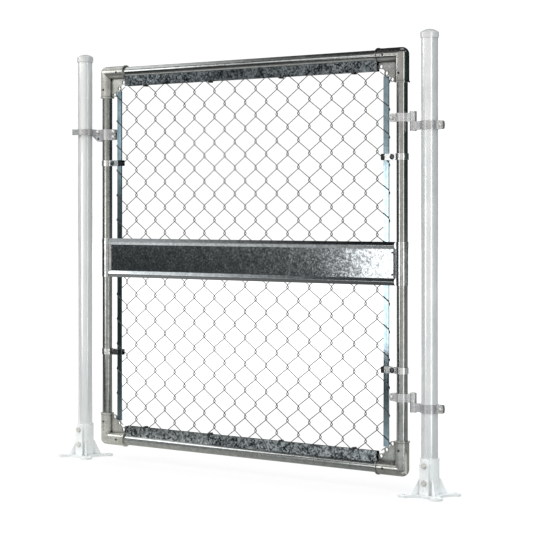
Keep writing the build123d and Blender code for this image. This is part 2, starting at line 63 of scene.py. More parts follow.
# Hex bolts, and the head and nut of the plain solids that they stand for
HEX_RADIUS = 0.0068
HEX_HEIGHT = 0.0038
HEX_CHAMFER = 0.14
HEX_FLAT_DROP = 0.25
HEX_TOP = 0.9
WASHER_RADIUS = 0.0084
WASHER_SHEET = 0.0007
WASHER_SIDES = 24
SHANK_RADIUS = 0.004
SHANK_SIDES = 16
THREAD_END = 0.0032
THREAD_PITCH = 0.0012
THREAD_DEPTH = 0.0004
PLAIN_HEAD = 0.0045

# Carriage bolts: the dome as (radius, height)
DOME = [(0.0085, 0), (0.0085, 0.0008), (0.0078, 0.0018), (0.0060, 0.0026), (0.0034, 0.0031),
        (0.0008, 0.0032)]
DOME_HEIGHT = 0.0032
DOME_SIDES = 28

# Set bolts in the feet
SET_HEAD_RADIUS = 0.0086
SET_HEAD_HEIGHT = 0.006
SET_HEAD_CHAMFER = 0.2
SET_WASHER = [(0.0100, 0), (0.0100, 0.0012), (0.0094, 0.0016)]
SET_WASHER_SIDES = 32

# Blind rivets, as shares of the plain rivet's radius and height, and pan head screws
RIVET_HEAD = [(1.0, 0.0), (1.0, 0.2), (0.86, 0.7), (0.6, 1.0), (0.42, 1.0), (0.34, 0.45)]
RIVET_SIDES = 24
PAN_HEAD = [(0.0041, 0), (0.0041, 0.0014), (0.0037, 0.0024), (0.0026, 0.0029), (0.0018, 0.0030),
            (0.0012, 0.0018)]
PAN_HEAD_HEIGHT = 0.003
PAN_SIDES = 20

# The panel's beads, which look like ridges of two flat slopes, the outer one darker by painted
# shade. The last
# two are ranges in a normal: of Y, where a bead begins to face the front, and of Z, where one
# slope turns into the other.
BEAD_HEIGHT = 0.022
BEAD_SLOPE = math.radians(33)
BEAD_EDGE = 0.0005
OUTER_SLOPE_PAINTED_SHADE = 0.45
BEAD_FRONT = (-0.25, -0.1)
BEAD_RIDGE = (-0.12, 0.12)

# The bands: the leaf's middle, and where their jaws, coloured as a painted dark reflection, begin
# to either side of it
LEAF_MIDDLE_X = -0.705
JAW_START = (0.5478, 0.5496)

# What polished metal sees round it: (turn, colour), from -X through -Y, +X and +Y back to -X
ROOM_STOPS = [
    (0.00, (0.10, 0.10, 0.095)),
    (0.10, (0.05, 0.05, 0.05)),
    (0.134, (0.03, 0.034, 0.034)),
    (0.141, (0.085, 0.09, 0.09)),
    (0.149, (0.25, 0.26, 0.26)),
    (0.156, (0.40, 0.43, 0.43)),
    (0.175, (0.72, 0.69, 0.65)),
    (0.34, (0.72, 0.68, 0.64)),
    (0.40, (0.34, 0.33, 0.31)),
    (0.435, (0.08, 0.10, 0.10)),
    (0.50, (0.035, 0.06, 0.055)),
    (0.80, (0.012, 0.018, 0.018)),
    (0.90, (0.04, 0.04, 0.04)),
    (1.00, (0.10, 0.10, 0.095)),
]

# What matt surfaces get, by the same turn: a little less from the right
MATT_STOPS = [(0.0, (1, 1, 1)), (0.3, (1, 1, 1)), (0.42, (0.66, 0.70, 0.71)),
              (0.58, (0.66, 0.70, 0.71)), (0.75, (1, 1, 1))]
SKY_ON_MATT = 1.5
SKY_SEEN = 1.05

# Brighter and darker parts of the room. Heights are the Z of a direction and leftward is its X,
# turns are as above, and each pair is where a part begins or ends softly.
LEFTWARD = (-0.66, -0.59)
GLOW_COLOUR = (0.78, 0.88, 0.92)
GLOW_TURN_START, GLOW_TURN_END = (0.10, 0.115), (0.17, 0.2)
GLOW_FADE, GLOW_FADED = (0.136, 0.143), 0.08
GLOW_BOTTOM = (0.01, 0.035)
GLOW_TOP, GLOW_ABOVE = (0.056, 0.078), 0.1
BAND_COLOUR = (0.56, 0.58, 0.58)
BAND_BOTTOM, BAND_TOP = (0.11, 0.15), (0.3, 0.4)
CEILING_COLOUR = (0.03, 0.033, 0.035)
CEILING_START, CEILING_SHARE = (0.5, 0.75), 0.94
OVERHEAD_COLOUR = (0.60, 0.62, 0.63)
OVERHEAD_START = (0.9, 0.96)
LIT_CEILING_COLOUR = (1.5, 1.53, 1.53)
LIT_BOTTOM, LIT_TOP = (0.57, 0.63), (0.75, 0.82)

# What it sees in the floor, which glows in these colours as painted light and shade: (share of
# FLOOR_DEPTH in front of the gate, colour), at each side
LEFT_FLOOR = [
    (0.0, (0.66, 0.66, 0.62)),
    (0.04, (0.60, 0.60, 0.57)),
    (0.055, (0.90, 0.90, 0.88)),
    (0.08, (0.85, 0.85, 0.84)),
    (0.11, (0.32, 0.33, 0.32)),
    (0.13, (0.16, 0.165, 0.16)),
    (0.21, (0.21, 0.22, 0.21)),
    (0.27, (0.11, 0.115, 0.115)),
    (0.56, (0.04, 0.042, 0.042)),
    (1.0, (0.03, 0.032, 0.032)),
]
RIGHT_FLOOR = [
    (0.0, (0.32, 0.33, 0.32)),
    (0.03, (0.26, 0.27, 0.26)),
    (0.045, (0.11, 0.11, 0.105)),
    (0.07, (0.11, 0.11, 0.105)),
    (0.095, (0.44, 0.48, 0.49)),
    (0.2, (0.76, 0.82, 0.83)),
    (0.3, (0.45, 0.46, 0.44)),
    (0.46, (0.66, 0.66, 0.62)),
    (0.58, (0.72, 0.72, 0.68)),
    (1.0, (0.66, 0.65, 0.62)),
]
FLOOR_DEPTH = 5.0
FLOOR_LEFT_X, FLOOR_RIGHT_X = -1.7, -0.3
FLOOR_REACH = 30.0
FLOOR_TONE = 0.26

# The floor's own light, from near the gate to far from it
FLOOR_GLOW = (0.69, 1.0)
FLOOR_GLOW_RANGE = (1.3, 3.4)
FLOOR_GLOW_CENTRE = (-0.7, 0.0, 0.0)

# Soft boxes: name, place, point faced, width, height, and how bright the face looks
SOFT_BOXES = [
    ("low_box", (-2.01, -4.08, 0.6), (-0.7, 0, 0.66), 1.53, 1.08, 2.4),
    ("high_box", (-2.82, -1.25, 1.93), (-0.85, 0, 1.0), 1.4, 0.8, 2.2),
    ("high_fill", (-1.72, -1.98, 1.87), (-0.5, 0, 1.1), 0.85, 0.55, 1.0),
    ("right_strip", (0.76, -0.52, 0.9), (-0.1, 0, 0.9), 0.24, 2.4, 1.8),
    ("back_box", (-3.4, 4.6, 1.6), (-0.7, 0, 0.8), 2.4, 2.2, 1.2),
]

# The photograph's view
CAMERA_PLACE = (2.668, -4.408, 0.865)
CAMERA_TURN = math.radians(36.7)
CAMERA_LENS = 114.1
CAMERA_SENSOR = 36.0
CAMERA_SHIFT = -0.1034
CAMERA_FAR = 200


# Meshes

def smooth_by_angle(mesh, degrees):
    """Smooth shading, with every edge sharper than the angle left sharp."""
    edit = bmesh.new()
    edit.from_mesh(mesh)
    limit = math.radians(degrees)
    for face in edit.faces:
        face.smooth = True
    for edge in edit.edges:
        edge.smooth = len(edge.link_faces) == 2 and edge.calc_face_angle(0) < limit
    edit.to_mesh(mesh)
    edit.free()


class Shape:
    """Vertices and faces gathered from several small solids."""

    def __init__(self):
        self.verts = []
        self.faces = []

    def add(self, verts, faces, place):
        start = len(self.verts)
        self.verts += [place @ Vector(v) if place else Vector(v) for v in verts]
        self.faces += [[start + i for i in face] for face in faces]

    def rings(self, rings, place=None):
        """A closed tube of rings, each a list of points, with flat ends."""
        sides = len(rings[0])
        verts = [point for ring in rings for point in ring]
        faces = [list(range(sides))[::-1]]
        for r in range(len(rings) - 1):
            low, high = r * sides, (r + 1) * sides
            for k in range(sides):
                after = (k + 1) % sides
                faces.append([low + k, low + after, high + after, high + k])
        faces.append([(len(rings) - 1) * sides + k for k in range(sides)])
        self.add(verts, faces, place)

    def lathe(self, profile, sides, place):
        """A solid turned about local Z from (radius, height) pairs, with flat ends."""
        angles = [2 * math.pi * k / sides for k in range(sides)]
        self.rings([[(r * math.cos(a), r * math.sin(a), z) for a in angles] for r, z in profile],
                   place)

    def hexagon(self, radius, height, place, chamfer=HEX_CHAMFER):
        """A six-sided head or nut on local Z, its free face chamfered to a circle."""
        flat = radius * math.cos(math.pi / 6)
        top_radius = HEX_TOP * flat
        low, high, top = [], [], []
        for k in range(12):
            x, y = math.cos(math.pi * k / 6), math.sin(math.pi * k / 6)
            corner = k % 2 == 0
            reach = radius if corner else flat
            drop = radius * chamfer * (1.0 if corner else HEX_FLAT_DROP)
            low.append((reach * x, reach * y, 0))
            high.append((reach * x, reach * y, height - drop))
            top.append((top_radius * x, top_radius * y, height))
        self.rings([low, high, top], place)

    def washer(self, place):
        self.lathe([(WASHER_RADIUS, 0), (WASHER_RADIUS, WASHER_SHEET)], WASHER_SIDES, place)

    def hex_on_washer(self, place):
        """A washer and a hex head or nut on it."""
        self.washer(place)
        self.hexagon(HEX_RADIUS, WASHER_SHEET + HEX_HEIGHT, place)

    def shank(self, length, place):
        """A plain shank that runs back from a head's seat."""
        self.lathe([(SHANK_RADIUS, -length), (SHANK_RADIUS, 0)], SHANK_SIDES, place)

    def thread(self, inside, place):
        """A threaded end: ridges along local Z from inside the grip to past the nut."""
        end = WASHER_SHEET + HEX_HEIGHT + THREAD_END
        count = max(2, round((end + inside) / THREAD_PITCH))
        pitch = (end + inside) / count
        root = SHANK_RADIUS - THREAD_DEPTH
        profile = [(root, -inside)]
        for k in range(count):
            profile.append((SHANK_RADIUS, (k + 0.5) * pitch - inside))
            profile.append((root, (k + 1) * pitch - inside))
        self.lathe(profile, SHANK_SIDES, place)

    def piece(self, name, body, slot, stands_for, sharp=35):
        """The gathered solids as one object that rides on a body and stands for CAD nodes."""
        mesh = bpy.data.meshes.new(name)
        mesh.from_pydata([tuple(v) for v in self.verts], [], self.faces)
        smooth_by_angle(mesh, sharp)
        piece = bpy.data.objects.new(name, mesh)
        bpy.context.scene.collection.objects.link(piece)
        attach(piece, body)
        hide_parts(*stands_for)


def facing(direction, point):
    """A placement whose local Z runs along a direction from a point."""
    turn = Vector(direction).to_track_quat("Z", "Y").to_matrix().to_4x4()
    return Matrix.Translation(Vector(point)) @ turn


def facing_front(point):
    return facing((0, -1, 0), point)


def facing_back(point):
    return facing((0, 1, 0), point)


# Fabric

def wire_bends(column, low, high):
    """The corners of one wire between two knuckle columns, from low to high."""
    middle_x, middle_z = (low.x + high.x) / 2, (low.z + high.z) / 2
    left = middle_x + column * COLUMN_STEP - KNUCKLE_OVERLAP
    right = middle_x + (column + 1) * COLUMN_STEP + KNUCKLE_OVERLAP
    bends = []
    for row in range(-LAST_ROW - 1, LAST_ROW + 2):
        at_left = (row + LAST_ROW) % 2 == (column + 1) % 2
        x, level = (left if at_left else right), middle_z + row * ROW_STEP
        below, above = (-WIRE_LANE, WIRE_LANE) if at_left else (WIRE_LANE, -WIRE_LANE)
        bends.append(Vector((x, below, level - KNUCKLE_HALF_HEIGHT)))
        bends.append(Vector((x, above, level + KNUCKLE_HALF_HEIGHT)))
    return bends


def rounded(points):
    """The path with each corner turned over a short curve."""
    path = [points[0]]
    for before, corner, after in zip(points, points[1:], points[2:]):
        start = corner + (before - corner).normalized() * BEND_LENGTH
        end = corner + (after - corner).normalized() * BEND_LENGTH
        for k in range(BEND_STEPS + 1):
            t = k / BEND_STEPS
            path.append(start * (1 - t) ** 2 + corner * 2 * t * (1 - t) + end * t ** 2)
    return path + [points[-1]]


def cut_path(path, low, high):
    """The part of a rising path between two levels."""
    kept = []
    for start, end in zip(path, path[1:]):
        for level in (low, high):
            if start.z < level < end.z:
                kept.append(start.lerp(end, (level - start.z) / (end.z - start.z)))
        if low < end.z < high:
            kept.append(end)
    return kept


def wire_rings(path):
    """Round sections along a path, carried from one to the next without twist."""
    side = Vector((0, 1, 0))
    angles = [2 * math.pi * k / WIRE_SIDES for k in range(WIRE_SIDES)]
    rings = []
    for i, point in enumerate(path):
        ahead = (path[min(i + 1, len(path) - 1)] - path[max(i - 1, 0)]).normalized()
        side = (side - ahead * side.dot(ahead)).normalized()
        up = ahead.cross(side)
        rings.append([point + (side * math.cos(a) + up * math.sin(a)) * WIRE_RADIUS
                      for a in angles])
    return rings


def fabric():
    """The interlinked wires of the mesh in round wire, one piece. They run in behind the strips,
    except for the two outermost, which stop just short of them."""
    low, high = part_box("chain_link_mesh")
    top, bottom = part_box("top_strip")[0].z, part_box("bottom_strip")[1].z
    shape = Shape()
    for column in range(-HALF_COLUMNS, HALF_COLUMNS):
        outermost = column in (-HALF_COLUMNS, HALF_COLUMNS - 1)
        inside = -OUTER_WIRE_GAP if outermost else HIDDEN_END
        path = cut_path(rounded(wire_bends(column, low, high)), bottom - inside, top + inside)
        shape.rings(wire_rings(path))
    shape.piece("fabric_wires", "leaf", "fabric_wire", ("chain_link_mesh",), 50)


# Fasteners

def solids_of(node):
    """The middle and the half size of each separate solid of a CAD node, in a fixed order."""
    edit = bmesh.new()
    edit.from_mesh(nodes[node].data)
    bmesh.ops.remove_doubles(edit, verts=edit.verts, dist=1e-6)
    left, found = set(edit.verts), []
    while left:
        island, edge = set(), [left.pop()]
        while edge:
            vert = edge.pop()
            island.add(vert)
            for link in vert.link_edges:
                other = link.other_vert(vert)
                if other in left:
                    left.discard(other)
                    edge.append(other)
        points = [vert.co for vert in island]
        low = Vector(min(p[a] for p in points) for a in range(3))
        high = Vector(max(p[a] for p in points) for a in range(3))
        found.append(((low + high) / 2, (high - low) / 2))
    edit.free()
    return sorted(found, key=lambda pair: tuple(round(v, 4) for v in pair[0]))


def clamp_bolts(name, node, body):
    """Hex bolts along Y through clamps: head and washer in front, washer, nut and thread behind."""
    shape = Shape()
    for middle, half in solids_of(node):
        grip = half.y - PLAIN_HEAD
        front = facing_front(middle - Vector((0, grip, 0)))
        back = facing_back(middle + Vector((0, grip, 0)))
        shape.hex_on_washer(front)
        shape.hex_on_washer(back)
        shape.shank(grip, front)
        shape.thread(grip, back)
    shape.piece(name, body, "zinc_fastener", (node,))


def foot_set_bolts():
    """The set bolts in the feet's pads: a wide washer under a chamfered head."""
    shape = Shape()
    for middle, half in solids_of("foot_bolts"):
        place = facing_front(middle - Vector((0, half.y - SET_HEAD_HEIGHT, 0)))
        shape.lathe(SET_WASHER, SET_WASHER_SIDES, place)
        shape.hexagon(SET_HEAD_RADIUS, SET_HEAD_HEIGHT, place, SET_HEAD_CHAMFER)
        shape.shank(2 * half.y - SET_HEAD_HEIGHT, place)
    shape.piece("foot_set_bolts", "posts", "zinc_fastener", ("foot_bolts",))


def carriage_bolts():
    """The bands' carriage bolts: a domed head in front, and a nut on the thread behind."""
    shape = Shape()
    for middle, half in solids_of("band_bolts"):
        grip = half.y - (PLAIN_HEAD + DOME_HEIGHT) / 2
        centre = middle + Vector((0, (DOME_HEIGHT - PLAIN_HEAD) / 2, 0))
        front = facing_front(centre - Vector((0, grip, 0)))
        back = facing_back(centre + Vector((0, grip, 0)))
        shape.lathe(DOME, DOME_SIDES, front)
        shape.shank(grip, front)
        shape.hex_on_washer(back)
        shape.thread(grip, back)
    shape.piece("carriage_bolts", "leaf", "dark_fastener", ("band_bolts",))


def rivets():
    """The panel's blind rivets: a domed flange with the mandrel's hollow in the middle."""
    shape = Shape()
    for middle, half in solids_of("panel_rivets"):
        profile = [(radius * half.x, height * 2 * half.y) for radius, height in RIVET_HEAD]
        shape.lathe(profile, RIVET_SIDES, facing_front(middle + Vector((0, half.y, 0))))
    shape.piece("blind_rivets", "leaf", "dark_fastener", ("panel_rivets",))


def pan_screws():
    """The elbows' pan head screws, each with a round recess, seated in the arm's round side."""
    shape = Shape()
    for middle, half in solids_of("elbow_screws"):
        seat = (middle.x, middle.y - half.y + PAN_HEAD_HEIGHT, middle.z)
        shape.lathe(PAN_HEAD, PAN_SIDES, facing_front(seat))
    shape.piece("pan_screws", "leaf", "dark_fastener", ("elbow_screws",))


def fasteners():
    """Every bolt, screw and rivet in detail."""
    clamp_bolts("post_strap_bolts", "post_hinge_bolts", "posts")
    clamp_bolts("leaf_strap_bolts", "gate_hinge_bolts", "leaf")
    clamp_bolts("latch_strap_bolts", "latch_clamp_bolts", "leaf")
    clamp_bolts("latch_pivot_bolt", "latch_pin", "leaf")
    foot_set_bolts()
    carriage_bolts()
    rivets()
    pan_screws()


# Node helpers for the procedural materials and the room

class Nodes:
    """Short calls for the nodes of one tree."""

    def __init__(self, tree, coordinates):
        self.tree = tree
        self.place = tree.nodes.new("ShaderNodeTexCoord").outputs[coordinates]

    def node(self, kind, inputs=None, **settings):
        made = self.tree.nodes.new(kind)
        for key, value in settings.items():
            setattr(made, key, value)
        for key, value in (inputs or {}).items():
            self.feed(made, key, value)
        return made

    def feed(self, node, key, value):
        """Links a socket or sets a value."""
        if isinstance(value, bpy.types.NodeSocket):
            self.tree.links.new(value, node.inputs[key])
        else:
            node.inputs[key].default_value = value

    def noise(self, scale, detail=3.0, rough=0.55):
        """Noise at one scale, or at a scale for each axis."""
        scales = scale if isinstance(scale, tuple) else (scale, scale, scale)
        vector = self.node("ShaderNodeMapping", {"Vector": self.place, "Scale": scales}).outputs[0]
        inputs = {"Vector": vector, "Scale": 1.0, "Detail": detail, "Roughness": rough}
        return self.node("ShaderNodeTexNoise", inputs).outputs["Fac"]

    def streaks(self, axis, along, across, detail=3.0):
        """Noise drawn out along one axis."""
        return self.noise(tuple(along if a == axis else across for a in "XYZ"), detail, 0.6)

    def vector(self, operation, first, second):
        key = "Scale" if operation == "SCALE" else 1
        inputs = {0: first, key: second}
        return self.node("ShaderNodeVectorMath", inputs, operation=operation).outputs[0]

    def centred(self, colour, amount):
        """A colour as a push to either side of nothing."""
        return self.vector("SCALE", self.vector("SUBTRACT", colour, (0.5, 0.5, 0.5)), amount)

    def cells(self, scale, warp_scale, warp):
        """Voronoi cells with a random colour each, their edges feathered by noise."""
        inputs = {"Vector": self.place, "Scale": warp_scale, "Detail": 2.0}
        push = self.centred(self.node("ShaderNodeTexNoise", inputs).outputs["Color"], warp)
        inputs = {"Vector": self.vector("ADD", self.place, push), "Scale": scale}
        return self.node("ShaderNodeTexVoronoi", inputs).outputs["Color"]

    def channel(self, colour, index):
        return self.node("ShaderNodeSeparateColor", {0: colour}).outputs[index]

    def ramp(self, factor, stops):
        made = self.node("ShaderNodeValToRGB", {"Fac": factor})
        elements = made.color_ramp.elements
        while len(elements) < len(stops):
            elements.new(0.5)
        for element, (position, colour) in zip(elements, stops):
            element.position = position
            element.color = (*colour, 1)
        return made.outputs["Color"]

    def span(self, value, low, high, start=0.0, end=1.0):
        """A value taken from the range start to end to the range low to high."""
        inputs = {"Value": value, "From Min": start, "From Max": end, "To Min": low, "To Max": high}
        return self.node("ShaderNodeMapRange", inputs).outputs[0]

    def between(self, value, rise, fall):
        """1 between a soft start and a soft end, 0 outside."""
        return self.product(self.span(value, 0.0, 1.0, *rise), self.span(value, 1.0, 0.0, *fall))

    def mix(self, factor, first, second):
        made = self.node("ShaderNodeMix", {0: factor}, data_type="RGBA", blend_type="MIX")
        for key, value in ((6, first), (7, second)):
            self.feed(made, key, (*value, 1) if isinstance(value, tuple) else value)
        return made.outputs[2]

    def maths(self, operation, first, second=0.0):
        return self.node("ShaderNodeMath", {0: first, 1: second}, operation=operation).outputs[0]

    def product(self, first, *others):
        for other in others:
            first = self.maths("MULTIPLY", first, other)
        return first

    def parts(self, vector):
        """X, Y and Z of a vector."""
        return self.node("ShaderNodeSeparateXYZ", {0: vector}).outputs

    def only_for(self, kind, shader, others):
        """One shader for one kind of ray, and another for the others."""
        rays = self.node("ShaderNodeLightPath").outputs[kind]
        return self.node("ShaderNodeMixShader", {0: rays, 1: others, 2: shader}).outputs[0]


class Look(Nodes):
    """One procedural material on a solid surface."""

    def __init__(self, name, metallic=1.0, specular=0.5):
        self.material = bpy.data.materials.new(name)
        self.material.use_nodes = True
        super().__init__(self.material.node_tree, "Object")
        self.shader = self.tree.nodes["Principled BSDF"]
        self.shader.inputs["Metallic"].default_value = metallic
        self.shader.inputs["Specular IOR Level"].default_value = specular

    def surface(self):
        return self.node("ShaderNodeNewGeometry").outputs["Normal"]

    def turned(self, direction, source, target):
        """A direction taken from the world's space to the object's own, or back."""
        return self.node("ShaderNodeVectorTransform", {0: direction}, vector_type="VECTOR",
                         convert_from=source, convert_to=target).outputs[0]

    def beyond(self, level, reach):
        """1 where the height differs from a level by more than a reach."""
        away = self.maths("ABSOLUTE", self.maths("SUBTRACT", self.parts(self.place)[2], level))
        return self.span(away, 0.0, 1.0, reach, reach + BEAD_EDGE)

    def ridged(self, level, inner):
        """The surface normal, with the beads further than inner from a level as two slopes."""
        _, front, up = self.parts(self.turned(self.surface(), "WORLD", "OBJECT"))
        bead = self.product(self.beyond(level, inner), self.span(front, 1.0, 0.0, *BEAD_FRONT))
        rise = self.span(up, -math.sin(BEAD_SLOPE), math.sin(BEAD_SLOPE), *BEAD_RIDGE)
        slope = {0: 0.0, 1: -math.cos(BEAD_SLOPE), 2: rise}
        slope = self.turned(self.node("ShaderNodeCombineXYZ", slope).outputs[0], "OBJECT", "WORLD")
        return self.mix(bead, self.surface(), slope)

    def tilted(self, normal, cell_colour, amount):
        """A normal leaned a little differently in each cell."""
        lean = self.vector("ADD", normal, self.centred(cell_colour, amount))
        return self.node("ShaderNodeVectorMath", {0: lean}, operation="NORMALIZE").outputs[0]

    def rounded_edges(self, radius):
        """The normal of the surface with its sharp edges eased."""
        return self.node("ShaderNodeBevel", {"Radius": radius}, samples=4).outputs[0]

    def edge_highlight_mask(self, eased):
        """1 where the eased normal leaves the flat one, at outer and inner edges."""
        inputs = {0: eased, 1: self.surface()}
        same = self.node("ShaderNodeVectorMath", inputs, operation="DOT_PRODUCT")
        return self.span(same.outputs["Value"], 1.0, 0.0, 0.86, 0.99)

    def hollow(self, distance, deep=0.25, open_at=0.8):
        """1 deep in holes and corners, 0 in the open: where shade gets painted."""
        inputs = {"Distance": distance}
        shade = self.node("ShaderNodeAmbientOcclusion", inputs, samples=6, only_local=True)
        crevice = self.span(shade.outputs["AO"], 0.0, 1.0, deep, open_at)
        return self.maths("SUBTRACT", 1.0, crevice)

    def bump(self, height, distance, strength=1.0, normal=None):
        inputs = {"Height": height, "Distance": distance, "Strength": strength}
        if normal:
            inputs["Normal"] = normal
        return self.node("ShaderNodeBump", inputs).outputs[0]

    def finish(self, colour, rough, normal):
        self.feed(self.shader, "Base Color", colour)
        self.feed(self.shader, "Roughness", rough)
        self.feed(self.shader, "Normal", normal)
        return self.material


# Materials

def dimmed(colour, share):
    return tuple(share * channel for channel in colour)


def tube_look(name, dark, light, axis, rough=(0.1, 0.2)):
    """Drawn galvanised tube: fine streaks along its axis, faint mottling and duller patches."""
    look = Look(name)
    streak = look.streaks(axis, 2.5, 240.0)
    mottle = look.noise(70, 4.0)
    dull = look.noise(12, 2.0)
    colour = look.ramp(mottle, [(0.3, dark), (0.7, light)])
    colour = look.mix(look.span(streak, 0.0, 0.3, 0.4, 0.75), colour, dark)
    roughness = look.maths("ADD", look.span(streak, *rough, 0.3, 0.7),
                           look.span(dull, 0.0, 0.07, 0.5, 0.75))
    return look.finish(colour, roughness, look.bump(mottle, 0.0003, 0.12))


def bead_lines():
    """The panel's middle height, and how far from it its beads begin."""
    low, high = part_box("mid_panel")
    return (low.z + high.z) / 2, (high.z - low.z) / 2 - BEAD_HEIGHT


def spangle_look(name, dark, light, size, tilt, rough=(0.08, 0.2), grain=0.25, beads=False):
    """Galvanised sheet: zinc crystals of two sizes, each with its own tone, gloss and lean, in
    lighter and darker clouds, and a fine upright rolling grain."""
    look = Look(name)
    large = look.cells(1 / size, 170.0, 0.006)
    small = look.cells(2.4 / size, 420.0, 0.003)
    rolled = look.noise((700, 700, 60), 2.0)
    cloud = look.noise((38, 38, 24), 3.0, 0.6)
    tone = look.maths("ADD", look.product(look.channel(large, 0), 0.6),
                      look.product(look.channel(small, 1), 0.4))
    tone = look.maths("ADD", tone, look.span(cloud, -0.25, 0.25, 0.3, 0.7))
    middle = tuple((d + l) / 2 for d, l in zip(dark, light))
    colour = look.ramp(tone, [(0.25, dark), (0.5, middle), (0.8, light)])
    colour = look.mix(look.span(rolled, 0.0, grain, 0.45, 0.7), colour, dark)
    normal = look.surface()
    if beads:
        level, inner = bead_lines()
        # Painted shade: the outer slope of each bead is dimmed towards the dark tone.
        outer = look.beyond(level, inner + BEAD_HEIGHT / 2)
        colour = look.mix(outer, colour, dimmed(dark, OUTER_SLOPE_PAINTED_SHADE))
        normal = look.ridged(level, inner)
    roughness = look.span(look.channel(small, 2), *rough)
    leaned = look.tilted(normal, look.mix(0.5, large, small), tilt)
    return look.finish(colour, roughness, look.bump(rolled, 0.0002, 0.2, leaned))


def cast_look(name, dark, light, metallic=0.95, rough=(0.2, 0.34), grain=0.0005, shade=0.15,
              edge=1.25, hollows=(0.25, 0.8)):
    """Cast metal: fine grain, soft cloudy tone, small pits, a painted highlight along its edges and
    painted shade in its hollows.
    """
    look = Look(name, metallic)
    cloud = look.noise(26, 4.0, 0.6)
    peel = look.noise(520, 3.0, 0.6)
    pits = look.noise(190, 1.0)
    eased = look.rounded_edges(0.0009)
    colour = look.ramp(cloud, [(0.3, dark), (0.7, light)])
    colour = look.mix(look.span(pits, 0.0, 0.5, 0.64, 0.74), colour, dimmed(dark, 0.6))
    # Painted highlight: colour lightened along outer and inner edges, towards the light tone times
    # edge.
    bright = tuple(min(channel, 0.95) for channel in dimmed(light, edge))
    colour = look.mix(look.product(look.edge_highlight_mask(eased), 0.6), colour, bright)
    # Painted shade: colour darkened deep in holes and corners, towards the dark tone times shade.
    colour = look.mix(look.hollow(0.012, *hollows), colour, dimmed(dark, shade))
    height = look.maths("SUBTRACT", peel, look.span(pits, 0.0, 0.8, 0.62, 0.72))
    return look.finish(colour, look.span(peel, *rough, 0.3, 0.7),
                       look.bump(height, grain, 0.4, eased))


def wire_look(name, dark, light):
    """Galvanised wire: drawn, with small drips of zinc."""
    look = Look(name)
    drips = look.noise((260, 260, 90), 3.0)
    colour = look.ramp(drips, [(0.3, dark), (0.7, light)])
    return look.finish(colour, look.span(drips, 0.16, 0.32, 0.3, 0.7),
                       look.bump(drips, 0.0004, 0.4))


def fastener_look(name, dark, light, rough=(0.2, 0.4), metallic=1.0):
    """Plated fastener: slightly uneven plating, with painted shade in its corners."""
    look = Look(name, metallic)
    plating = look.noise(330, 3.0)
    colour = look.ramp(plating, [(0.35, dark), (0.65, light)])
    # Painted shade: colour darkened in corners and recesses.
    colour = look.mix(look.hollow(0.003), colour, dimmed(dark, 0.25))
    return look.finish(colour, look.span(plating, *rough, 0.3, 0.7),
                       look.bump(plating, 0.0003, 0.3))


def band_look(name, dark, light, jaw_painted_reflection):
    """The bands' bright strap, with the jaw past the tension bar a painted dark reflection."""
    look = Look(name)
    from_middle = look.parts(look.vector("ADD", look.place, (-LEAF_MIDDLE_X, 0, 0)))[0]
    worn = look.noise(240, 3.0)
    reach = look.maths("ADD", look.maths("ABSOLUTE", from_middle),
                       look.span(worn, -0.0015, 0.0015, 0.3, 0.7))
    # Painted reflection: past the tension bar the strap's colour turns near black, standing in for
    # the dark reflection of its curled end.
    jaw = look.span(reach, 1.0, 0.0, *JAW_START)
    colour = look.mix(jaw, look.ramp(worn, [(0.3, dark), (0.7, light)]), jaw_painted_reflection)
    roughness = look.maths("ADD", look.span(worn, 0.1, 0.2, 0.3, 0.7), look.product(jaw, 0.2))
    return look.finish(colour, roughness,
                       look.bump(worn, 0.0003, 0.15, look.rounded_edges(0.0008)))


def pale_look(name, dark, light, metallic, rough):
    """Pale zinc on a post: streaks down its length over cloudy patches."""
    look = Look(name, metallic)
    streak = look.streaks("Z", 4.0, 110.0, 4.0)
    cloud = look.noise(14, 4.0, 0.6)
    grain = look.noise(700, 2.0)
    colour = look.mix(look.span(cloud, 0.25, 0.9, 0.3, 0.7), dark, light)
    colour = look.mix(look.span(streak, 0.0, 0.5, 0.45, 0.75), colour, dark)
    return look.finish(colour, look.span(streak, *rough, 0.3, 0.7), look.bump(grain, 0.0003, 0.15))
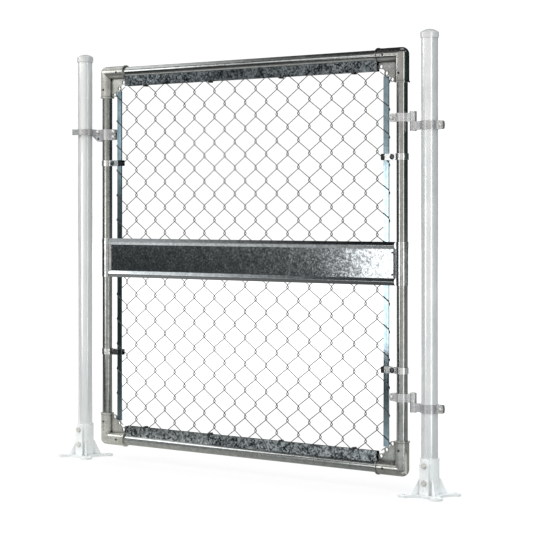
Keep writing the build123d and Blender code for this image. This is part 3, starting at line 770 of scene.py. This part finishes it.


# Each finish: look, name, dark and light tone, settings, and the CAD nodes or pieces it is on
# In these settings, shade is how dark the painted shade in hollows gets, as a share of the dark
# tone.
ELBOW = {"shade": 0.06, "hollows": (0.5, 0.95)}
FITTING = {"metallic": 0.65, "rough": (0.18, 0.32), "grain": 0.0003, "shade": 0.3}
FINISHES = [
    (tube_look, "tube_upright", (0.36, 0.37, 0.36), (0.52, 0.53, 0.52),
     {"axis": "Z"}, ("left_upright", "right_upright")),
    (tube_look, "tube_rail", (0.42, 0.43, 0.42), (0.60, 0.61, 0.60),
     {"axis": "X"}, ("top_rail", "bottom_rail")),
    # The top strip is the same sheet as the bottom strip, its tones darkened as painted shade.
    (spangle_look, "top_strip_sheet", (0.015, 0.017, 0.019), (0.345, 0.38, 0.40),
     {"size": 0.0065, "tilt": 0.025}, ("top_strip",)),
    (spangle_look, "bottom_strip_sheet", (0.03, 0.035, 0.04), (0.80, 0.85, 0.87),
     {"size": 0.006, "tilt": 0.08}, ("bottom_strip",)),
    (spangle_look, "panel_sheet", (0.48, 0.505, 0.52), (0.70, 0.735, 0.75),
     {"size": 0.006, "tilt": 0.032, "rough": (0.08, 0.15), "beads": True}, ("mid_panel",)),
    (spangle_look, "sleeve_sheet", (0.50, 0.51, 0.515), (0.72, 0.74, 0.75),
     {"size": 0.008, "tilt": 0.04, "rough": (0.1, 0.18), "grain": 0.1},
     ("panel_sleeve_left", "panel_sleeve_right")),
    # The four elbows are one casting: the upper left and lower left are lighter copies, and the
    # upper right a darker, glossier copy of elbow_cast, as painted light and shade.
    (cast_look, "elbow_cast", (0.44, 0.44, 0.41), (0.70, 0.70, 0.665),
     {"metallic": 0.95, "rough": (0.12, 0.24), "grain": 0.0004, **ELBOW}, ("elbow_lower_right",)),
    (cast_look, "elbow_satin_cast", (0.48, 0.48, 0.445), (0.70, 0.70, 0.66),
     {"metallic": 0.85, "rough": (0.24, 0.36), "grain": 0.0005, **ELBOW}, ("elbow_upper_left",)),
    (cast_look, "elbow_bright_cast", (0.34, 0.34, 0.327), (0.54, 0.54, 0.522),
     {"metallic": 1.0, "rough": (0.08, 0.18), "grain": 0.0003, **ELBOW}, ("elbow_upper_right",)),
    (cast_look, "elbow_pale_cast", (0.56, 0.56, 0.513), (0.76, 0.76, 0.707),
     {"metallic": 0.7, "rough": (0.2, 0.32), "grain": 0.0005, **ELBOW}, ("elbow_lower_left",)),
    (tube_look, "bar_steel", (0.32, 0.43, 0.48), (0.50, 0.63, 0.69),
     {"axis": "Z", "rough": (0.06, 0.13)}, ("tension_bar_left", "tension_bar_right")),
    (band_look, "band_strap", (0.78, 0.80, 0.80), (0.94, 0.95, 0.95),
     {"jaw_painted_reflection": (0.035, 0.038, 0.04)},
     ("tension_band_lower_left", "tension_band_lower_right", "tension_band_upper_left",
      "tension_band_upper_right")),
    (fastener_look, "dark_zinc", (0.045, 0.048, 0.05), (0.16, 0.165, 0.17),
     {}, ("carriage_bolts", "pan_screws", "strip_clips", "blind_rivets")),
    (pale_look, "post_zinc", (0.70, 0.72, 0.73), (0.90, 0.91, 0.915),
     {"metallic": 0.42, "rough": (0.16, 0.3)}, ("hinge_post",)),
    # The latch post has the hinge post's zinc, made lighter as painted light.
    (pale_look, "latch_post_zinc", (0.84, 0.86, 0.865), (0.95, 0.955, 0.96),
     {"metallic": 0.36, "rough": (0.12, 0.24)}, ("latch_post",)),
    (cast_look, "foot_cast", (0.84, 0.87, 0.87), (0.93, 0.95, 0.95),
     {"metallic": 0.1, "rough": (0.35, 0.5), "grain": 0.0004, "shade": 0.75, "edge": 1.05},
     ("hinge_post_foot", "latch_post_foot")),
    (cast_look, "cap_cast", (0.68, 0.69, 0.69), (0.80, 0.81, 0.81),
     {"metallic": 0.35, "rough": (0.24, 0.38), "grain": 0.0003, "shade": 0.6, "edge": 1.05},
     ("hinge_post_cap", "latch_post_cap")),
    (cast_look, "fitting_zinc", (0.56, 0.56, 0.57), (0.75, 0.75, 0.76),
     FITTING, ("gate_hinge_lower", "gate_hinge_upper", "latch_clamp")),
    (cast_look, "post_fitting_zinc", (0.47, 0.47, 0.48), (0.64, 0.64, 0.65),
     FITTING, ("post_hinge_lower", "post_hinge_upper", "latch_fork")),
    (fastener_look, "zinc_plate", (0.60, 0.595, 0.58), (0.80, 0.79, 0.775),
     {"rough": (0.2, 0.36), "metallic": 0.6},
     ("post_strap_bolts", "leaf_strap_bolts", "latch_strap_bolts", "latch_pivot_bolt")),
    (fastener_look, "pale_plate", (0.70, 0.685, 0.66), (0.86, 0.84, 0.815),
     {"rough": (0.2, 0.36), "metallic": 0.45}, ("foot_set_bolts",)),
    (wire_look, "fabric_wire", (0.12, 0.125, 0.125), (0.34, 0.35, 0.35), {}, ("fabric_wires",)),
]


def paint_all():
    """Every visible surface gets its finish."""
    for look, name, dark, light, settings, painted in FINISHES:
        material = look(name, dark, light, **settings)
        for piece_name in painted:
            piece = nodes.get(piece_name) or bpy.data.objects[piece_name]
            piece.data.materials.clear()
            piece.data.materials.append(material)


def keep_out_of_reflections(node):
    """The pale hinge post would show in the leaf as a white streak that the photo doesn't have."""
    nodes[node].visible_glossy = False


# Studio

def soft_box(name, place, target, width, height, radiance):
    """An area light that faces a point; its power follows from how bright its face looks."""
    data = bpy.data.lights.new(name, "AREA")
    data.shape = "RECTANGLE"
    data.size, data.size_y = width, height
    data.energy = radiance * math.pi * width * height
    light = bpy.data.objects.new(name, data)
    bpy.context.scene.collection.objects.link(light)
    light.location = place
    direction = Vector(target) - Vector(place)
    light.rotation_euler = direction.to_track_quat("-Z", "Y").to_euler()


def room_colour(sky, turn):
    """The room that polished metal sees: dark behind, at far left and overhead, beige in front,
    with a low glow and a lit stretch of wall and ceiling at the left."""
    across, _, height = sky.parts(sky.place)
    leftward = sky.span(across, 1.0, 0.0, *LEFTWARD)
    glow = sky.product(sky.between(turn, GLOW_TURN_START, GLOW_TURN_END),
                       sky.span(turn, 1.0, GLOW_FADED, *GLOW_FADE),
                       sky.span(height, 0.0, 1.0, *GLOW_BOTTOM),
                       sky.span(height, 1.0, GLOW_ABOVE, *GLOW_TOP))
    colour = sky.mix(glow, sky.ramp(turn, ROOM_STOPS), GLOW_COLOUR)
    band = sky.product(sky.between(height, BAND_BOTTOM, BAND_TOP), leftward)
    colour = sky.mix(band, colour, BAND_COLOUR)
    overhead = sky.span(height, 0.0, 1.0, *OVERHEAD_START)
    ceiling = sky.mix(overhead, CEILING_COLOUR, OVERHEAD_COLOUR)
    colour = sky.mix(sky.span(height, 0.0, CEILING_SHARE, *CEILING_START), colour, ceiling)
    lit = sky.product(sky.between(height, LIT_BOTTOM, LIT_TOP), leftward)
    return sky.mix(lit, colour, LIT_CEILING_COLOUR)


def studio_world():
    """White to the camera, soft white to matt surfaces, and a room to polished metal."""
    world = bpy.data.worlds.new("studio")
    bpy.context.scene.world = world
    world.use_nodes = True
    sky = Nodes(world.node_tree, "Generated")
    turn = sky.node("ShaderNodeTexGradient", {0: sky.place}, gradient_type="RADIAL").outputs["Fac"]
    room = sky.node("ShaderNodeBackground", {0: room_colour(sky, turn)})
    soft = sky.node("ShaderNodeBackground", {0: sky.ramp(turn, MATT_STOPS), 1: SKY_ON_MATT})
    white = sky.node("ShaderNodeBackground", {0: (1, 1, 1, 1), 1: SKY_SEEN})
    shader = sky.only_for("Is Diffuse Ray", soft.outputs[0], room.outputs[0])
    shader = sky.only_for("Is Camera Ray", white.outputs[0], shader)
    sky.tree.links.new(shader, sky.tree.nodes["World Output"].inputs["Surface"])


def floor():
    """A pale floor that meets the white backdrop and takes a faint soft shadow near the gate. In
    the metal it shows as a glowing painted floor of lit and shaded patches, darker at the left."""
    mesh = bpy.data.meshes.new("floor")
    r = FLOOR_REACH
    mesh.from_pydata([(-r, -r, 0), (r, -r, 0), (r, r, 0), (-r, r, 0)], [], [(0, 1, 2, 3)])
    piece = bpy.data.objects.new("floor", mesh)
    bpy.context.scene.collection.objects.link(piece)
    look = Look("floor", 0.0, 0.0)
    across, forward, _ = look.parts(look.place)
    forward = look.span(forward, 0.0, 1.0, 0.0, -FLOOR_DEPTH)
    rightness = look.span(across, 0.0, 1.0, FLOOR_LEFT_X, FLOOR_RIGHT_X)
    mirrored = look.mix(rightness, look.ramp(forward, LEFT_FLOOR), look.ramp(forward, RIGHT_FLOOR))
    # Painted light: to all but camera rays the floor glows in lit and shaded patches.
    painted_floor_light = look.node("ShaderNodeEmission", {"Color": mirrored})
    inputs = {0: look.place, 1: FLOOR_GLOW_CENTRE}
    away = look.node("ShaderNodeVectorMath", inputs, operation="DISTANCE").outputs["Value"]
    strength = look.span(away, *FLOOR_GLOW, *FLOOR_GLOW_RANGE)
    glow = look.node("ShaderNodeEmission", {"Strength": strength})
    tone = (FLOOR_TONE, FLOOR_TONE, FLOOR_TONE, 1)
    pale = look.node("ShaderNodeBsdfDiffuse", {"Color": tone})
    seen = look.node("ShaderNodeAddShader", {0: pale.outputs[0], 1: glow.outputs[0]})
    shader = look.only_for("Is Camera Ray", seen.outputs[0], painted_floor_light.outputs[0])
    look.tree.links.new(shader, look.tree.nodes["Material Output"].inputs["Surface"])
    mesh.materials.append(look.material)


def studio():
    """Floor, room and five soft boxes: a low one at front left, a high one and a fill above it, a
    strip at right and a large one behind."""
    floor()
    studio_world()
    for box in SOFT_BOXES:
        soft_box(*box)


def camera():
    """The photograph's view: level, from the right of the gate, the frame lowered by a shift."""
    data = bpy.data.cameras.new("camera")
    data.sensor_width = CAMERA_SENSOR
    data.lens = CAMERA_LENS
    data.shift_y = CAMERA_SHIFT
    data.clip_end = CAMERA_FAR
    piece = bpy.data.objects.new("camera", data)
    bpy.context.scene.collection.objects.link(piece)
    piece.location = CAMERA_PLACE
    piece.rotation_euler = (math.radians(90), 0, CAMERA_TURN)
    bpy.context.scene.camera = piece


bpy.context.scene.view_settings.view_transform = "Standard"
camera()
studio()
fabric()
fasteners()
paint_all()
keep_out_of_reflections("hinge_post")
